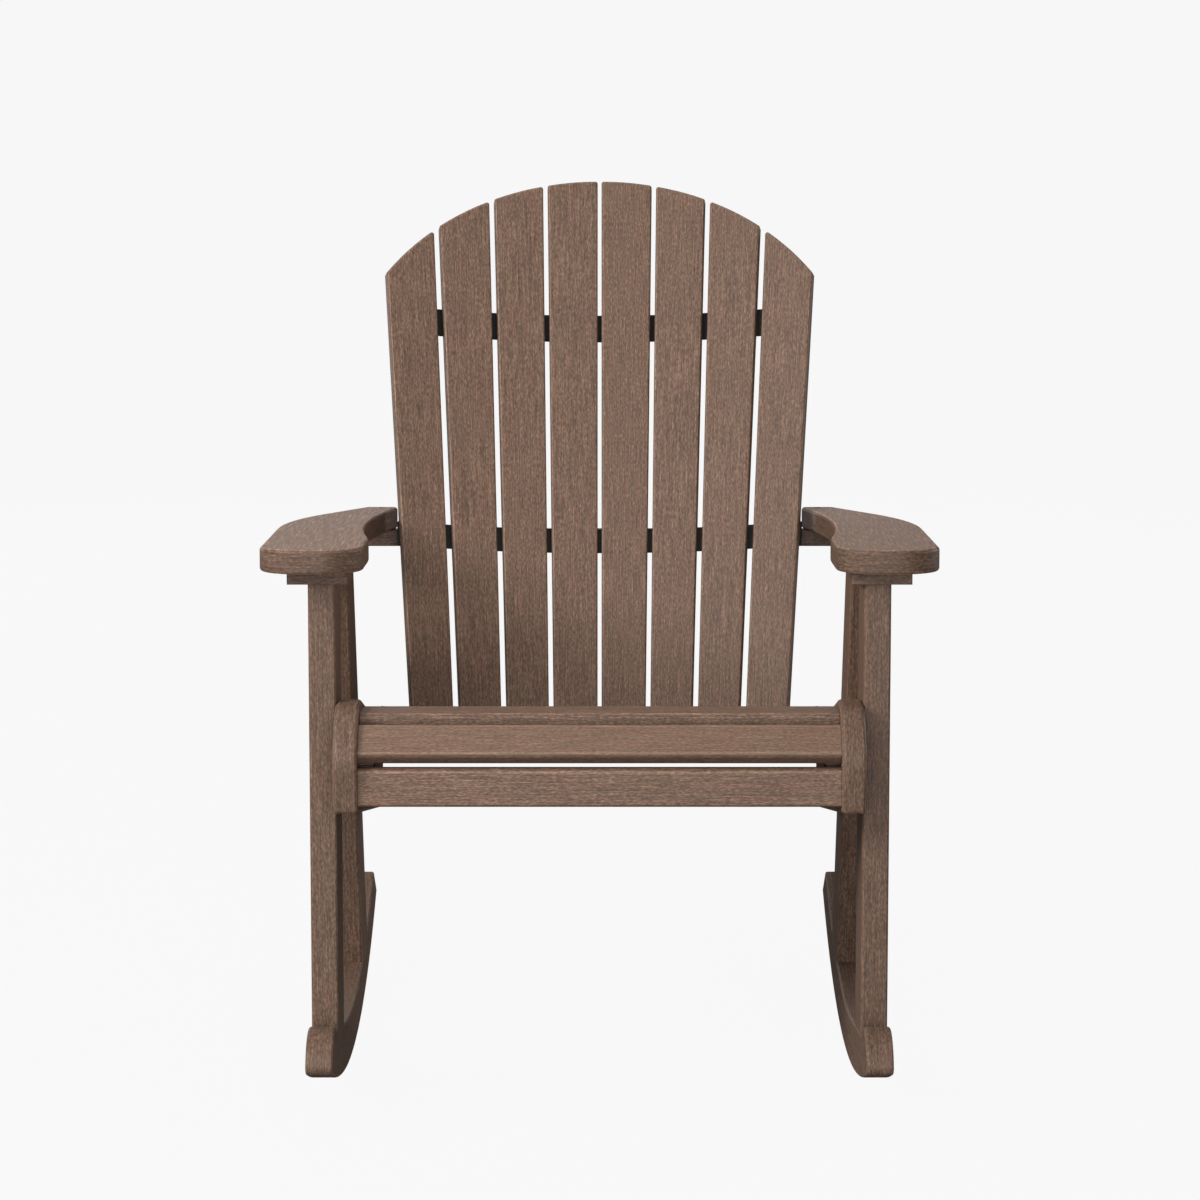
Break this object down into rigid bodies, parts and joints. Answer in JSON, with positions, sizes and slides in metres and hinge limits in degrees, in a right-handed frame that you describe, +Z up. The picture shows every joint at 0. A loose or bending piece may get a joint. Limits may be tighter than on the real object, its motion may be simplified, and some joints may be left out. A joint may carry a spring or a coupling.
{
  "type": "rocking chair",
  "caption": "Outdoor rocking chair with a fanned, arched slatted back, a slatted seat with a rounded front, wide flat arms and curved runners.",
  "frame": {"origin": "on the ground, under the middle of the chair's width and depth", "axes": "+Z up; -Y is the front of the chair, +Y the back; +X across, to the right for someone facing the chair"},
  "size_m": [0.8004, 0.8864, 1.0488],
  "materials": {
    "poly": "matte brown board with fine lengthwise grain",
    "black_metal": "satin black",
    "steel_screw": "plain",
    "dark_screw": "dark coated",
    "pin": "plain"
  },
  "bodies": {
    "root": {"rocker_left": "poly", "rocker_right": "poly", "front_post_left": "poly", "front_post_right": "poly", "rear_leg_left": "poly", "rear_leg_right": "poly", "side_rail_left": "poly", "side_rail_right": "poly", "arm_left": "poly", "arm_right": "poly", "arm_block_left": "poly", "arm_block_right": "poly", "seat_cleat_left": "poly", "seat_cleat_right": "poly", "back_slat_1": "poly", "back_slat_2": "poly", "back_slat_3": "poly", "back_slat_4": "poly", "back_slat_5": "poly", "back_slat_6": "poly", "back_slat_7": "poly", "back_slat_8": "poly", "seat_slat_1": "poly", "seat_slat_2": "poly", "seat_slat_3": "poly", "seat_slat_4": "poly", "seat_slat_5": "poly", "seat_slat_6": "poly", "seat_slat_7": "poly", "lower_back_rail": "poly", "rear_crossbar": "poly", "lower_back_bar": "black_metal", "upper_back_bar": "black_metal", "arm_rear_screws": "dark_screw", "back_bar_screws": "dark_screw", "back_rail_screws": "steel_screw", "crossbar_screws": "steel_screw", "seat_slat_screws": "steel_screw", "cleat_screws": "steel_screw", "frame_screws": "dark_screw", "rail_end_screws": "steel_screw", "runner_screws": "steel_screw", "post_cap_screws": "steel_screw", "arm_block_screws": "steel_screw", "arm_pins": "pin"}
  },
  "joints": []
}
